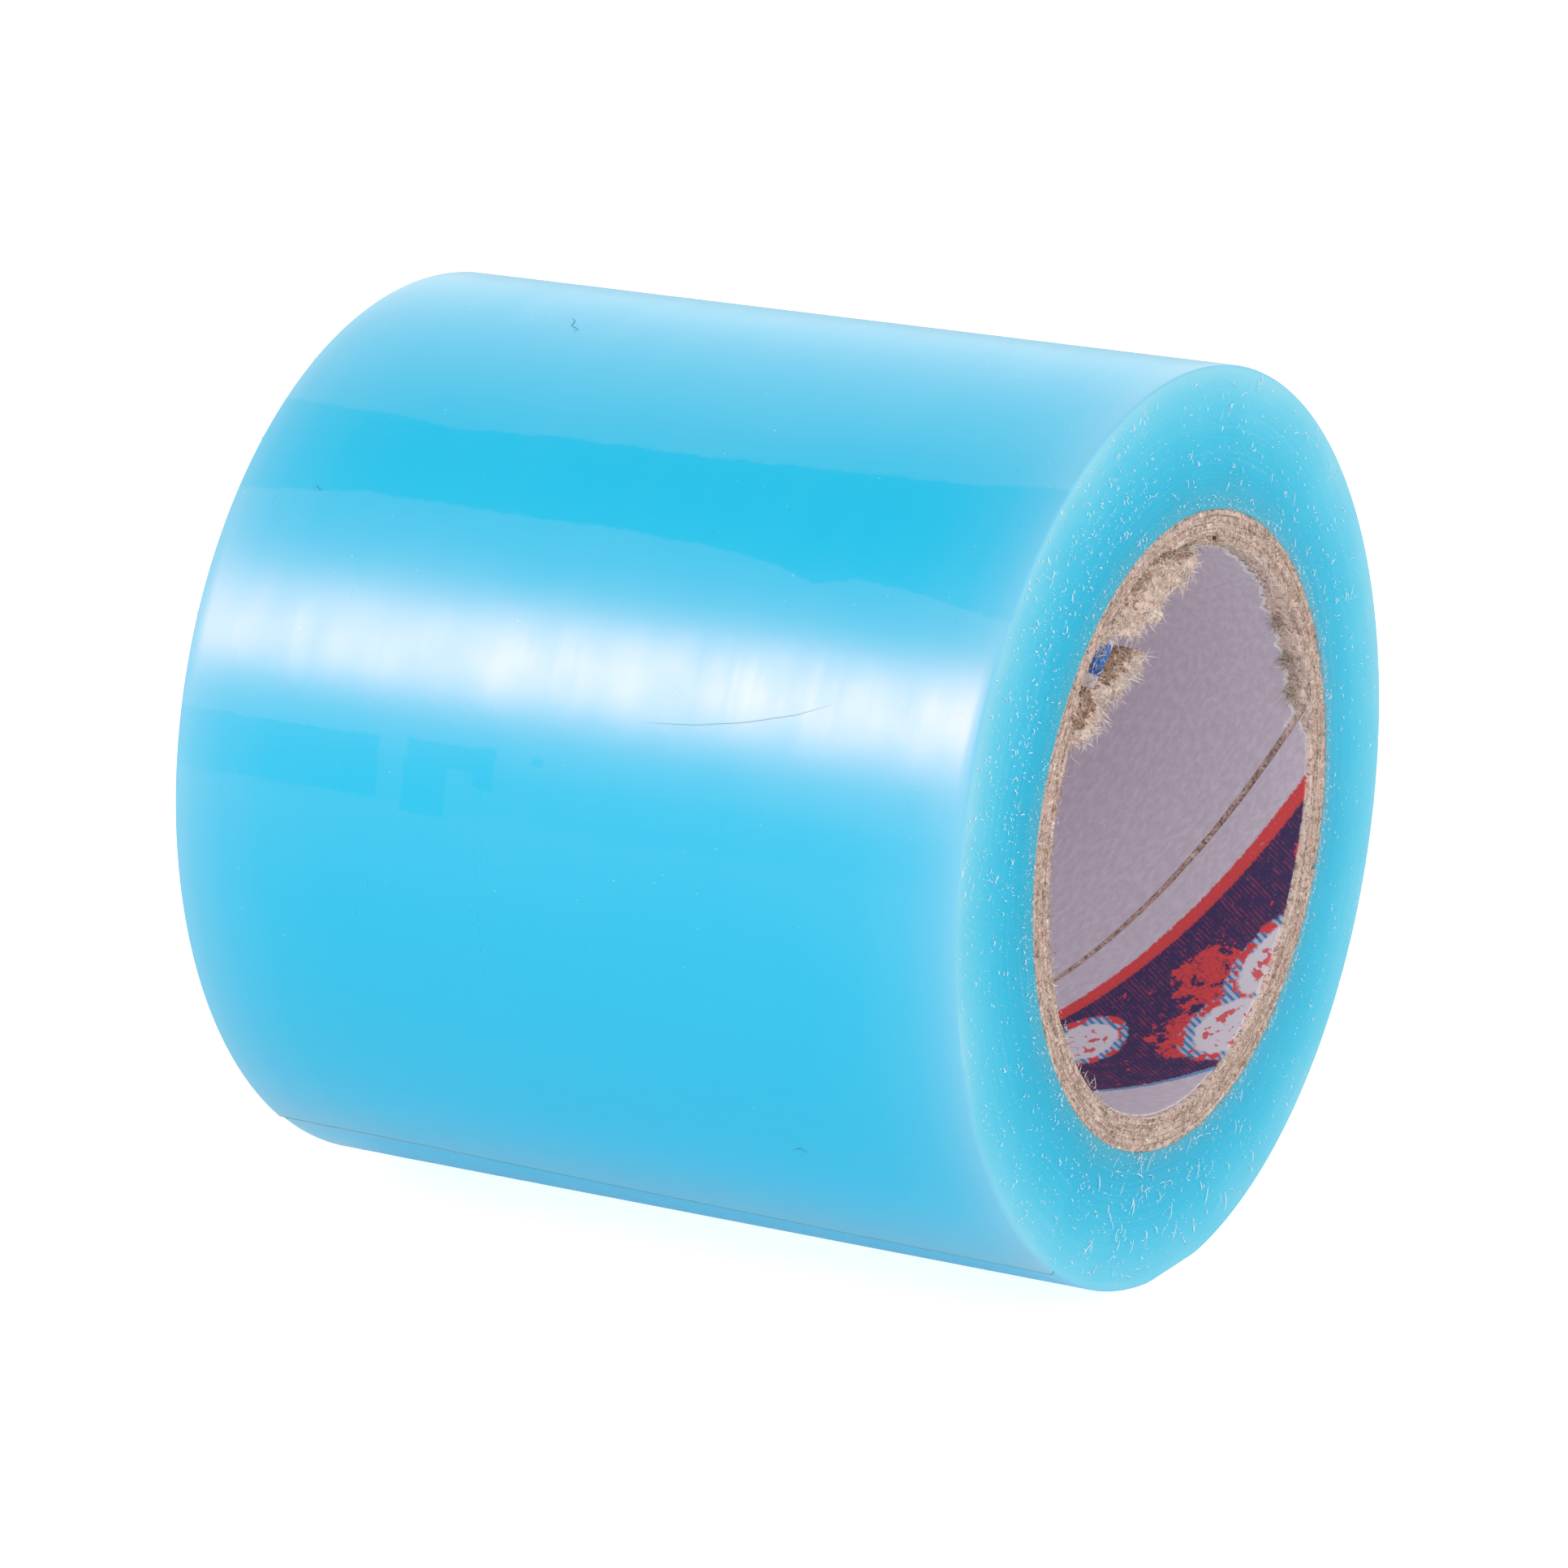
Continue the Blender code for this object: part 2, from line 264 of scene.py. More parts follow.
# ---------------------------------------------------------------- materials
class Graph:
    """A material's node tree, with short ways to add nodes."""

    def __init__(self, name, roughness, **sockets):
        self.material = bpy.data.materials.new(name)
        self.material.use_nodes = True
        self.tree = self.material.node_tree
        self.shader = self.tree.nodes["Principled BSDF"]
        self.shader.inputs["Roughness"].default_value = roughness
        for socket, value in sockets.items():
            self.shader.inputs[socket.replace("_", " ")].default_value = value

    def node(self, kind, inputs=(), output=0, **settings):
        made = self.tree.nodes.new("ShaderNode" + kind)
        for name, value in settings.items():
            setattr(made, name, value)
        for key, value in (inputs.items() if isinstance(inputs, dict) else enumerate(inputs)):
            if isinstance(value, bpy.types.NodeSocket):
                self.tree.links.new(value, made.inputs[key])
            else:
                made.inputs[key].default_value = value
        return made.outputs[output]

    def math(self, operation, *values, clamp=False):
        return self.node("Math", values, operation=operation, use_clamp=clamp)

    def times(self, first, second):
        return self.math("MULTIPLY", first, second)

    def linear(self, value, factor, offset):
        return self.math("MULTIPLY_ADD", value, factor, offset)

    def step(self, value, low, high, to_low=0.0, to_high=1.0):
        """Smooth step from one level to another as value goes from low to high."""
        return self.node("MapRange", (value, low, high, to_low, to_high), interpolation_type="SMOOTHSTEP")

    def between(self, value, low, high, blur):
        """1 between two levels, which may be sockets, and 0 outside, with soft edges."""
        rise = self.step(self.math("SUBTRACT", value, low), -blur, blur)
        fall = self.step(self.math("SUBTRACT", value, high), -blur, blur, 1.0, 0.0)
        return self.times(rise, fall)

    def highest(self, *values):
        result = values[0]
        for value in values[1:]:
            result = self.math("MAXIMUM", result, value)
        return result

    def mix(self, share, first, second):
        colours = [(*c, 1.0) if isinstance(c, tuple) else c for c in (first, second)]
        return self.node("Mix", {0: share, 6: colours[0], 7: colours[1]}, output=2, data_type="RGBA")

    def vector(self, x, y, z=0.0):
        return self.node("CombineXYZ", (x, y, z))

    def stretched(self, x, by_x, y, by_y, z=0.0):
        return self.vector(self.times(x, by_x), self.times(y, by_y), z)

    def noise(self, vector, scale, detail=2.0, roughness=0.5, distortion=0.0):
        return self.node("TexNoise", {"Vector": vector, "Scale": scale, "Detail": detail,
                                      "Roughness": roughness, "Distortion": distortion})

    def ramp(self, value, low, high, stops):
        """Level or colour that follows stops, given in value's own units between low and high."""
        share = self.node("MapRange", (value, low, high, 0.0, 1.0))
        made = self.tree.nodes.new("ShaderNodeValToRGB")
        self.tree.links.new(share, made.inputs[0])
        elements = made.color_ramp.elements
        while len(elements) < len(stops):
            elements.new(0.5)
        for element, (at, level) in zip(elements, stops):
            element.position = (at - low) / (high - low)
            element.color = (*level, 1.0) if isinstance(level, tuple) else (level, level, level, 1.0)
        return made.outputs[0]

    def curve(self, value, low, high, stops):
        """Number of any size that follows stops."""
        floor = min(level for _, level in stops)
        height = max(level for _, level in stops) - floor
        scaled = [(at, (level - floor) / height) for at, level in stops]
        return self.linear(self.ramp(value, low, high, scaled), height, floor)

    def unwrap(self):
        """The unrolled place: millimetres along or out, and turn in degrees."""
        split = self.tree.nodes.new("ShaderNodeSeparateXYZ")
        self.tree.links.new(self.node("UVMap", uv_map="wrap"), split.inputs[0])
        return split.outputs[0], split.outputs[1]

    def solid(self):
        """Place in space, in millimetres."""
        place_in_space = self.tree.nodes.new("ShaderNodeTexCoord").outputs["Object"]
        return self.node("VectorMath", {0: place_in_space, 3: 1 / MM}, operation="SCALE")

    def tone(self):
        return self.node("Attribute", output=2, attribute_name="tone")

    def finish(self, colour, roughness=None, height=None, relief=0.01):
        """Join colour, roughness and a height in units of relief millimetres to the shader."""
        self.tree.links.new(colour, self.shader.inputs["Base Color"])
        if roughness is not None:
            self.tree.links.new(roughness, self.shader.inputs["Roughness"])
        if height is not None:
            bump = self.node("Bump", {"Strength": 1.0, "Distance": relief * MM, "Height": height})
            self.tree.links.new(bump, self.shader.inputs["Normal"])
        return self.material


def specks(graph, vector, scale, radius, share):
    """Small round dots, kept in only a share of the cells."""
    cells = graph.tree.nodes.new("ShaderNodeTexVoronoi")
    graph.tree.links.new(vector, cells.inputs["Vector"])
    cells.inputs["Scale"].default_value = scale
    kept = graph.node("SeparateColor", (cells.outputs["Color"],))
    dots = graph.step(cells.outputs["Distance"], radius * 0.6, radius, 1.0, 0.0)
    return graph.times(dots, graph.math("LESS_THAN", kept, share))


def wet_out(graph, x, turn):
    """Where the adhesive has flowed out and no air is left between laps: 1 in the clear patches."""
    around = graph.times(turn, MM_PER_DEGREE)
    rough = graph.noise(graph.vector(x, around, 3.0), 0.55, 4.0, 0.65)
    fine = graph.noise(graph.vector(x, around, 8.0), 2.4, 3.0, 0.6)
    shift = graph.math("ADD", graph.linear(rough, 1.3, -0.65),
                       graph.linear(fine, 0.7, -0.35))
    uneven = graph.math("ADD", turn, shift)
    top = graph.curve(x, -25, 25, [(-25, 32.9), (-16.6, 33.6), (-13, 34.3), (-6, 33.5), (2.4, 33.6),
                                   (9.4, 33.1), (19, 32.3), (25, 31.0)])
    bottom = graph.curve(x, -25, 25, [(-25, 47.2), (-16.6, 45.5), (0, 45.7), (6, 46.2), (10.3, 47.5),
                                      (12.6, 49.3), (15.3, 47.8), (18.4, 48.5), (25, 50.7)])
    patches = [graph.between(uneven, top, bottom, 0.25)]
    for x_low, x_high, low, high in ((-26, -11.6, 75.6, 83.0), (-9.8, -5.0, 75.2, 78.2),
                                     (-10.0, -7.1, 77.6, 84.2), (-5.5, -4.1, 75.0, 80.0),
                                     (-1.8, -1.1, 75.3, 76.4)):
        across = graph.between(graph.linear(shift, 0.4, x), x_low, x_high, 0.08)
        patches.append(graph.times(across, graph.between(uneven, low, high, 0.2)))
    trace = graph.between(uneven, 77.5, 83.5, 1.2)
    patches.append(graph.times(trace, 0.35))
    for low, high in ((-62.0, -49.0), (-118.0, -112.0), (-160.0, -141.0)):
        patches.append(graph.between(uneven, low, high, 0.25))
    return graph.highest(*patches)


def film_side_look():
    """Stacked clear blue film: saturated where it has wetted out, hazy where air is trapped.
    Painted light is mixed into its colour: a painted glow towards the rims, painted shade low down and a
    painted reflection of the table at the bottom.
    """
    graph = Graph("film_side", 0.28, IOR=1.5)
    x, turn = graph.unwrap()
    around = graph.times(turn, MM_PER_DEGREE)
    wet = wet_out(graph, x, turn)
    dry = graph.math("SUBTRACT", 1.0, wet)
    cloud = graph.noise(graph.vector(x, around), 0.09, 3.0)
    # The trapped-air haze fades towards the bottom, where the film faces the table: that fading is painted
    # shade.
    upper = graph.ramp(turn, -217, 150, [(-217, 0.0), (-120, 1.0), (70, 1.0), (97, 0.25), (150, 0.1)])
    haze = graph.times(graph.linear(cloud, 0.05, 0.025), upper)
    # Paler towards both rims, most at the -X end: a painted glow of light coming in through the slit ends.
    inset = graph.math("SUBTRACT", HALF_WIDTH, graph.math("ABSOLUTE", x))
    rim = graph.ramp(inset, 0, 10, [(0, 0.24), (0.4, 0.20), (1.2, 0.125), (3, 0.055), (6, 0.012), (10, 0.0)])
    rim = graph.times(rim, graph.ramp(x, -25, 25, [(-25, 1.0), (-10, 1.0), (10, 0.8), (25, 0.8)]))
    veil = graph.math("ADD", graph.times(haze, dry), rim)
    # Paler near the bottom edge: a painted reflection of the table at grazing.
    loose = graph.ramp(turn, 100, 180, [(100, 0.0), (126, 0.0), (134, 0.02), (140, 0.05), (143.5, 0.09),
                                        (180, 0.08)])
    veil = graph.math("ADD", veil, loose)
    dust = specks(graph, graph.vector(x, around, 2.0), 1.1, 0.055, 0.16)
    dots = specks(graph, graph.vector(x, around, 7.0), 2.6, 0.07, 0.05)
    veil = graph.math("ADD", veil, graph.times(graph.highest(dust, dots), 0.35), clamp=True)
    colour = graph.mix(veil, BLUE, WHITE)
    # Greyer and darker near the bottom, close to the table: painted shade.
    under = graph.ramp(turn, 100, 180, [(100, 0.0), (130, 0.0), (142, 0.2), (147, 0.35), (180, 0.35)])
    colour = graph.mix(under, colour, TABLE_SHADE_BLUE)

    streaks = graph.noise(graph.stretched(x, 3.2, around, 0.06), 1.0, 5.0, 0.7)
    peel = graph.noise(graph.vector(x, around, 4.0), 1.6, 3.0)
    height = graph.linear(streaks, 0.3, graph.times(peel, 0.4))
    waves = graph.noise(graph.stretched(x, 0.13, around, 0.09, 9.0), 1.0, 2.0, 0.5)
    height = graph.linear(waves, 7.0, height)
    height = graph.linear(wet, -0.6, height)
    column = graph.noise(graph.stretched(x, 0.5, around, 0.02, 3.0), 1.0, 4.0, 0.6)
    smudge = graph.noise(graph.vector(x, around, 8.0), 0.35, 5.0, 0.6)
    roughness = graph.linear(streaks, 0.04, 0.19)
    roughness = graph.linear(column, 0.10, roughness)
    roughness = graph.linear(smudge, 0.08, roughness)
    return graph.finish(colour, roughness, height, 0.004)


def film_end_look():
    """Slit ends of all the laps: frosted, deeper blue halfway out and hazy beside the core, with painted
    light paling the top and painted shade deepening the bottom.
    """
    graph = Graph("film_end", 0.45, IOR=1.45, Specular_IOR_Level=0.25)
    out, turn = graph.unwrap()
    around = graph.times(turn, MM_PER_DEGREE)
    laps = graph.noise(graph.stretched(out, 9.0, around, 0.05), 1.0, 4.0, 0.7)
    cloud = graph.noise(graph.vector(out, around, 1.0), 0.16, 3.0)
    # Shift by clock angle: paler towards the top as painted light, deeper and darker towards the bottom, near
    # the table, as painted shade.
    low = graph.ramp(graph.math("ABSOLUTE", turn), 0, 220,
                     [(0, 0.4), (30, 0.6), (60, 0.5), (90, 0.3), (120, -0.1), (150, -0.6), (170, -1.6),
                      (190, -1.6), (220, -0.4)])
    uneven = graph.linear(graph.math("SUBTRACT", cloud, 0.5), 2.0, out)
    outward = graph.ramp(out, 18, 26.5, [(18, 0.0), (20, 0.5), (26.5, 1.0)])
    uneven = graph.linear(outward, low, uneven)
    colour = graph.ramp(uneven, 18, 26.5, [(18, (0.06, 0.42, 0.56)), (18.6, (0.03, 0.44, 0.63)),
                                          (19.3, (0.012, 0.46, 0.69)), (20.8, (0.010, 0.51, 0.76)),
                                          (22.4, (0.030, 0.56, 0.81)), (24, (0.08, 0.62, 0.85)),
                                          (25.4, (0.15, 0.67, 0.88)), (26.5, (0.27, 0.73, 0.90))])
    colour = graph.mix(graph.times(graph.step(laps, 0.45, 0.8), 0.10), colour, WHITE)
    fuzz = graph.noise(graph.vector(out, around, 5.0), 6.0, 4.0, 0.7)
    near_core = graph.ramp(out, 18, 26.5, [(18, 1.0), (18.7, 0.8), (19.6, 0.15), (26.5, 0.05)])
    frost = graph.times(graph.step(fuzz, 0.5, 0.72), near_core)
    colour = graph.mix(graph.times(frost, 0.35), colour, FELT_BLUE)
    dots = specks(graph, graph.vector(out, around, 2.0), 2.2, 0.10, 0.10)
    fine = specks(graph, graph.vector(out, around, 5.0), 4.5, 0.14, 0.10)
    colour = graph.mix(graph.times(graph.highest(dots, fine), 0.5), colour, WHITE)
    height = graph.math("ADD", laps, graph.times(fuzz, 0.6))
    roughness = graph.linear(laps, 0.2, 0.34)
    return graph.finish(colour, roughness, height, 0.012)


def film_cut_look():
    """Cut edge of the free end and a thin strip of film beside it: dark teal, partly the edge's own colour
    and partly a painted shadow of the step at the cut.
    """
    graph = Graph("film_cut", 0.3)
    x, turn = graph.unwrap()
    uneven = graph.noise(graph.vector(x, graph.times(turn, MM_PER_DEGREE)), 2.2, 4.0, 0.7)
    colour = graph.mix(graph.step(uneven, 0.35, 0.75), CUT_SHADOW_TEAL, (0.05, 0.42, 0.58))
    return graph.finish(colour, graph.linear(uneven, 0.2, 0.2), uneven, 0.01)


def fibre_pattern(graph):
    """Felted fibres: short curling streaks in three directions, and the pits between them, which kraft_look
    darkens with painted shade.
    """
    space = graph.solid()
    levels = []
    for seed, stretch in ((1.0, (3.0, 4.5, 1.1)), (12.0, (3.0, 1.1, 4.5)), (23.0, (1.2, 3.2, 3.2))):
        scaled = graph.node("VectorMath", {0: space, 1: stretch}, operation="MULTIPLY")
        shifted = graph.node("VectorMath", {0: scaled, 1: (seed, seed, seed)}, operation="ADD")
        levels.append(graph.noise(shifted, 1.0, 3.0, 0.65, 1.2))
    return graph.highest(*levels), graph.noise(space, 3.4, 3.0, 0.65, 0.8)


def kraft_look(name, base, dark, light, relief, rings=False):
    """Felted board; rings adds the edges of its thin layers, for the cut ends of the core."""
    graph = Graph(name, 0.9, Specular_IOR_Level=0.2)
    fibre, pit_shade = fibre_pattern(graph)
    colour = graph.mix(graph.step(fibre, 0.56, 0.68), base, light)
    # Darker in the pits: partly the board's own dark fibres, partly painted shade in the recesses.
    colour = graph.mix(graph.times(graph.step(pit_shade, 0.50, 0.62), 0.75), colour, dark)
    height = graph.math("SUBTRACT", fibre, graph.times(pit_shade, 0.6))
    if rings:
        out, turn = graph.unwrap()
        around = graph.times(turn, MM_PER_DEGREE)
        layers = graph.noise(graph.stretched(out, 4.2, around, 0.16), 1.0, 3.0, 0.6)
        colour = graph.mix(graph.step(layers, 0.54, 0.64, 0.0, 0.45), colour, dark)
        colour = graph.mix(graph.step(layers, 0.40, 0.46, 0.30, 0.0), colour, light)
        height = graph.linear(layers, -0.8, height)
    return graph.finish(colour, graph.linear(pit_shade, 0.15, 0.8), height, relief)


def fibre_look(name, dark, light):
    """Loose fibres, each with a tone of its own."""
    graph = Graph(name, 0.85, Specular_IOR_Level=0.2)
    colour = graph.mix(graph.tone(), dark, light)
    grain = graph.noise(graph.solid(), 9.0, 2.0)
    colour = graph.mix(graph.times(grain, 0.25), colour, light)
    return graph.finish(colour, graph.linear(grain, 0.2, 0.7), grain, 0.004)


def liner_look():
    """White paper with a printed border: a red stripe, a hatched dark field and blank ovals."""
    graph = Graph("liner_print", 0.75, Specular_IOR_Level=0.25)
    x, turn = graph.unwrap()
    arc = graph.times(turn, math.pi * BORE_RADIUS / 180)
    lead = 2 * math.pi * BORE_RADIUS
    length = math.hypot(lead, SEAM_PITCH)
    turned = graph.times(graph.math("SUBTRACT", turn, SEAM_START + 360), SEAM_PITCH / 360)
    from_seam = graph.math("SUBTRACT", graph.math("SUBTRACT", x, MOUTH), turned)
    across = graph.times(from_seam, lead / length)
    along = graph.math("ADD", graph.times(x, SEAM_PITCH / length),
                       graph.linear(arc, lead / length, -lead * lead / length))
    flat = graph.vector(across, along)
    fine = graph.noise(flat, 4.0, 4.0, 0.75)
    soft = graph.noise(flat, 0.9, 3.0, 0.6)
    ragged = graph.math("ADD", across, graph.linear(fine, 0.5, -0.25))

    fibres = graph.noise(graph.vector(graph.times(across, 2.2), along), 1.4, 5.0, 0.7)
    colour = graph.mix(graph.step(fibres, 0.35, 0.7), (0.66, 0.585, 0.675), (0.775, 0.705, 0.80))
    foxing = graph.noise(flat, 2.6, 5.0, 0.8)
    colour = graph.mix(graph.step(foxing, 0.62, 0.75, 0.0, 0.25), colour, (0.40, 0.33, 0.33))

    edge = graph.curve(along, -180, 0,
                       [(-180, 12.0), (-150, 15.0), (-120, 11.0), (-90, 14.5), (-60, 10.5), (-38, 11.5),
                        (-31, 11.9), (-28, 12.5), (-22.8, 13.3), (-18, 14.6), (0, 13.0)])
    field = graph.between(ragged, 2.9, edge, 0.1)
    hatch = graph.node("TexWave", {"Vector": graph.vector(along, graph.times(across, 0.15)),
                                   "Scale": 1.25, "Distortion": 4.0, "Detail": 4.0,
                                   "Detail Scale": 2.5}, output=1,
                       wave_type="BANDS", bands_direction="X")
    cover = graph.step(graph.noise(flat, 1.1, 4.0, 0.7), 0.42, 0.62, 0.0, 0.75)
    ink = graph.mix(graph.times(graph.step(hatch, 0.45, 0.9), cover), INK_NAVY, (0.34, 0.07, 0.13))
    ink = graph.mix(graph.step(fine, 0.58, 0.70, 0.0, 0.5), ink, (0.34, 0.28, 0.42))
    stain = graph.step(graph.math("ADD", soft, graph.times(fine, 0.25)), 0.76, 0.80)
    ink = graph.mix(graph.times(stain, 0.85), ink, INK_RED)
    colour = graph.mix(field, colour, ink)

    def oval(at_across, at_along, half_across, half_along, grow=1.0, torn=0.9):
        u = graph.math("DIVIDE", graph.math("SUBTRACT", ragged, at_across), half_across * grow)
        v = graph.math("DIVIDE", graph.math("SUBTRACT", along, at_along), half_along * grow)
        squared = graph.math("ADD", graph.times(u, u), graph.times(v, v))
        rim = 1.0 + torn / 2
        return graph.step(graph.linear(soft, torn, squared), rim - 0.2, rim, 1.0, 0.0)

    places = ((6.0, -28.9, 1.7, 2.2), (10.7, -21.7, 1.9, 2.6), (8.8, -16.4, 1.7, 3.4),
              (9.0, -45.0, 2.2, 2.6), (6.6, -63.0, 1.8, 2.4), (9.8, -82.0, 2.4, 2.6),
              (6.4, -104.0, 1.7, 2.2), (9.0, -128.0, 2.2, 2.6), (7.0, -152.0, 1.9, 2.3))
    red_places = ((6.8, -20.2, 2.2, 2.4), (9.4, -24.2, 1.8, 2.0), (6.4, -55.0, 2.6, 3.2),
                  (7.0, -94.0, 2.8, 3.0), (6.8, -140.0, 2.8, 3.0))
    halo = graph.highest(*[oval(*spot, grow=1.35) for spot in places])
    blank = graph.highest(*[oval(*spot) for spot in places])
    patch = graph.highest(*[oval(*spot, torn=4.0) for spot in red_places])
    stripes = graph.node("TexWave", {"Vector": graph.vector(along, across), "Scale": 0.8}, output=1,
                         bands_direction="X")
    blue_ring = graph.mix(graph.step(stripes, 0.35, 0.55), INK_BLUE, PALE_BLUE)
    ring = graph.mix(graph.step(soft, 0.45, 0.5), INK_RED, blue_ring)
    blots = graph.step(graph.noise(flat, 1.1, 4.0, 0.65), 0.40, 0.46)
    worn = graph.step(fine, 0.36, 0.5, 0.35, 1.0)
    patch = graph.times(patch, graph.times(blots, worn))
    colour = graph.mix(patch, colour, INK_RED)
    colour = graph.mix(halo, colour, ring)
    colour = graph.mix(blank, colour, (0.82, 0.78, 0.86))
    spatter = graph.noise(flat, 1.5, 2.0, 0.5)
    middle = graph.highest(*[oval(*spot, grow=0.72) for spot in places])
    spatter = graph.times(graph.step(spatter, 0.54, 0.58, 0.0, 0.9), middle)
    colour = graph.mix(spatter, colour, INK_RED)

    red = graph.between(ragged, 2.35, 3.15, 0.06)
    colour = graph.mix(graph.times(red, graph.step(fine, 0.3, 0.42, 0.6, 1.0)), colour, INK_RED)
    line = graph.between(ragged, edge, graph.math("ADD", edge, 0.28), 0.05)
    colour = graph.mix(graph.times(line, 0.8), colour, INK_BLUE)
    height = graph.math("ADD", graph.noise(flat, 0.5, 3.0), graph.times(foxing, 0.25))
    return graph.finish(colour, graph.linear(foxing, 0.2, 0.62), height, 0.05)


def liner_scrap_look():
    """White paper with a blot of the liner's blue print."""
    graph = Graph("printed_scrap", 0.7, Specular_IOR_Level=0.25)
    turn = graph.unwrap()[1]
    grain = graph.noise(graph.solid(), 2.4, 4.0, 0.7)
    colour = graph.mix(grain, (0.62, 0.56, 0.62), (0.84, 0.80, 0.86))
    edge = graph.linear(grain, 7.0, -3.5)
    printed = graph.between(graph.math("ADD", turn, edge), 33.5, 41.5, 0.5)
    colour = graph.mix(printed, colour, graph.mix(grain, (0.02, 0.10, 0.42), (0.05, 0.24, 0.62)))
    return graph.finish(colour, graph.linear(grain, 0.2, 0.55), grain, 0.03)


def floor_look(name, glow):
    graph = Graph(name, 0.9, Specular_IOR_Level=0.1, Emission_Color=(1.0, 1.0, 1.0, 1.0),
                  Emission_Strength=glow)
    grain = graph.noise(graph.solid(), 0.05, 3.0)
    colour = graph.mix(grain, (0.62, 0.62, 0.625), (0.65, 0.65, 0.65))
    return graph.finish(colour)


# ---------------------------------------------------------------- wound film
def film_roll(looks):
    """All the wound laps but the loose stretch of the last one."""
    rim_insets = [RIM * (1 - math.cos(math.radians(a))) for a in (0, 22.5, 45, 67.5, 90)]
    side = [-HALF_WIDTH + inset for inset in rim_insets]
    side += spread(-HALF_WIDTH + 0.8, HALF_WIDTH - 0.8, 60)
    side += [HALF_WIDTH - inset for inset in reversed(rim_insets)]
    lifted = TAIL_ROOT - SEGMENT / 2
    turns = spread(TAIL_EDGE - 360, lifted, 216)
    under = spread(lifted, TAIL_EDGE, 26)[:-1]
    columns = []
    for turn, lap_turn in [(t, t) for t in turns] + [(t, t - 360) for t in under]:
        ring = [(x, skin_radius(x, lap_turn), 0) for x in side[:-1]]
        rim_radius = skin_radius(HALF_WIDTH, lap_turn)
        for end in (1, -1):
            shares = spread(1.0, 0.0, END_RINGS) if end == 1 else spread(0.0, 1.0, END_RINGS)[:-1]
            for share in shares:
                radius = PACK_BORE + (rim_radius - PACK_BORE) * share
                set_back = 0.03 * (1 + ripple(radius * 1.7, turn * 0.02, end)) * min(1, 4 * (1 - share))
                ring.append((end * (end_face(radius) - set_back), radius, 1))
            if end == 1:
                ring[-1] = (ring[-1][0], ring[-1][1], 0)
        columns.append((turn, ring))
    roll = sweep("film_roll", columns, looks, closed_turn=TAIL_EDGE)
    return roll, side


def cut_edge(x):
    """Turn at which the film was cut, by hand and not quite square."""
    slant = 0.11 * x + 0.5 * ripple(x * 0.09, 2.0)
    return TAIL_EDGE + slant + 0.16 * ripple(x * 1.3, 4.0) + 0.10 * ripple(x * 4.1, 7.0)


def film_tail(side, looks):
    """The free end, in patches, each centred on one hinge turn of the tail."""
    for number in range(1, TAIL_STRIPS + 1):
        hinge = TAIL_ROOT + (number - 1) * SEGMENT
        first, last = hinge - SEGMENT / 2, hinge + SEGMENT / 2
        cut = number == TAIL_STRIPS
        ends = [cut_edge(x) if cut else last for x in side]
        columns = [[first + (end - first) * share for end in ends] for share in spread(0, 1, 14)]
        if cut:
            columns[-2] = [end - CUT_STRIP for end in ends]
        patch = build_patch(f"film_tail_{number}", columns, side, looks, cut)
        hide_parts(f"tape_tail_{number}")
        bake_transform(patch)


def build_patch(name, columns, side, looks, cut):
    """Thin closed sheet. columns is a list of rows of turns, one for each x in side.

    cut gives the last row the look of the cut edge.
    """
    width = len(side)
    points, faces, wraps, slots = [], [], [], []
    for row in columns:
        for depth in (0.0, TAIL_FILM):
            points += [place(x, skin_radius(x, turn) - depth, turn) for x, turn in zip(side, row)]
    flat = [[(x, turn) for x, turn in zip(side, row)] * 2 for row in columns]
    size = 2 * width
    loop = list(range(width)) + list(range(size - 1, width - 1, -1))

    def add(corners, slot):
        faces.append([row * size + column for row, column in corners])
        wraps.extend(flat[row][column] for row, column in corners)
        slots.append(slot)

    last = len(columns) - 1
    for row in range(last):
        for j, a in enumerate(loop):
            b = loop[(j + 1) % size]
            add([(row, a), (row + 1, a), (row + 1, b), (row, b)], int(cut and row == last - 1))
    for row in (0, last):
        for j in range(width - 1):
            corners = [(row, j), (row, j + 1), (row, j + 1 + width), (row, j + width)]
            add(corners if row == 0 else corners[::-1], int(cut and row == last))
    return make_object(name, points, faces, looks, wraps, slots)


# ---------------------------------------------------------------- core
def tear_depth(turn, bites):
    deepest = 0.0
    for first, last, depth, ragged in bites:
        share = ((turn - first) % 360) / (last - first)
        if share < 1:
            fade = min(1.0, 10 * share, 10 * (1 - share))
            wave = ripple(turn * 0.35, depth * 9) + 0.7 * ripple(turn * 1.1, depth * 5) \
                + 0.4 * ripple(turn * 3.1, depth)
            deepest = max(deepest, fade * max(0.05, depth + ragged * wave))
    return deepest


def strip_reach(seam_start, half_gap, turn):
    """How far a wound strip reaches along the axis at a turn, before the mouths trim it."""
    leading = MOUTH + (turn - seam_start) * SEAM_PITCH / 360 - half_gap
    return leading - SEAM_PITCH + 2 * half_gap, leading


